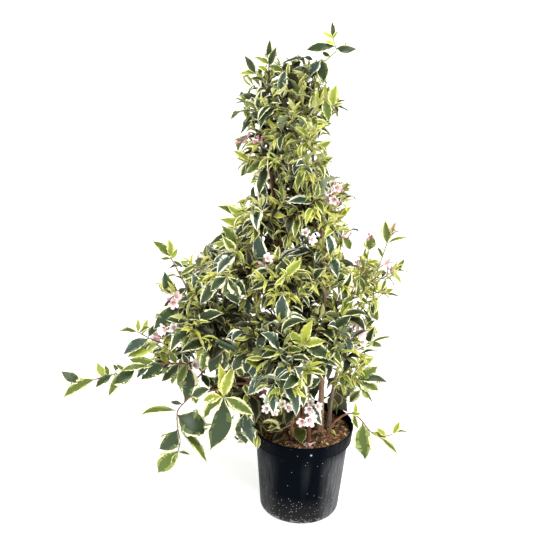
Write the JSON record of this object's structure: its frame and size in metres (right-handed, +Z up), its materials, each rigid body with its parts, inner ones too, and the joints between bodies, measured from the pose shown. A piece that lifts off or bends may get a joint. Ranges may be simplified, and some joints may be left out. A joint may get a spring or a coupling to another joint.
{
  "type": "potted variegated weigela",
  "caption": "Flowering shrub with cream-edged leaves and pale pink bells, many stems from one root, in a round black pot.",
  "frame": {"origin": "middle of the pot's flat underside", "axes": "+Z up, +X to the right of the plant as the picture shows it, +Y to its back"},
  "size_m": [0.7923, 0.5863, 1.1129],
  "materials": {
    "plastic": "satin",
    "compost": "matte",
    "bark": "matte",
    "foliage": "satin"
  },
  "bodies": {
    "root": {"compost": "compost", "foliage_arch_left": "foliage", "foliage_back": "foliage", "foliage_back_left": "foliage", "foliage_back_right": "foliage", "foliage_droop_left": "foliage", "foliage_front": "foliage", "foliage_right_high": "foliage", "foliage_right_low": "foliage", "foliage_shoulder_left": "foliage", "foliage_spray_left": "foliage", "foliage_spray_left_low": "foliage", "foliage_spray_right_middle": "foliage", "foliage_spray_right_upper": "foliage", "foliage_spray_shoulder": "foliage", "foliage_spray_top_middle": "foliage", "foliage_tier1_1": "foliage", "foliage_tier1_2": "foliage", "foliage_tier1_3": "foliage", "foliage_tier1_4": "foliage", "foliage_tier1_5": "foliage", "foliage_tier2_3": "foliage", "foliage_tier2_7": "foliage", "foliage_tier3_2": "foliage", "foliage_tier3_4": "foliage", "foliage_tier3_5": "foliage", "foliage_tier3_6": "foliage", "foliage_tier3_7": "foliage", "foliage_tier4_1": "foliage", "foliage_tier4_2": "foliage", "foliage_tier4_3": "foliage", "foliage_tier4_4": "foliage", "foliage_tier4_5": "foliage", "foliage_tier4_6": "foliage", "foliage_tier6_1": "foliage", "foliage_tier6_2": "foliage", "foliage_tier6_3": "foliage", "foliage_tier6_4": "foliage", "foliage_tier6_5": "foliage", "foliage_tier7_2": "foliage", "foliage_tier7_3": "foliage", "foliage_tier7_4": "foliage", "foliage_tier8_3": "foliage", "foliage_upright_back": "foliage", "foliage_upright_left": "foliage", "foliage_upright_right": "foliage", "pot": "plastic", "stem_arch_left": "bark", "stem_back": "bark", "stem_back_left": "bark", "stem_back_right": "bark", "stem_droop_left": "bark", "stem_front": "bark", "stem_right_high": "bark", "stem_right_low": "bark", "stem_shoulder_left": "bark", "stem_upright_back": "bark", "stem_upright_left": "bark", "stem_upright_right": "bark"}
  },
  "joints": []
}
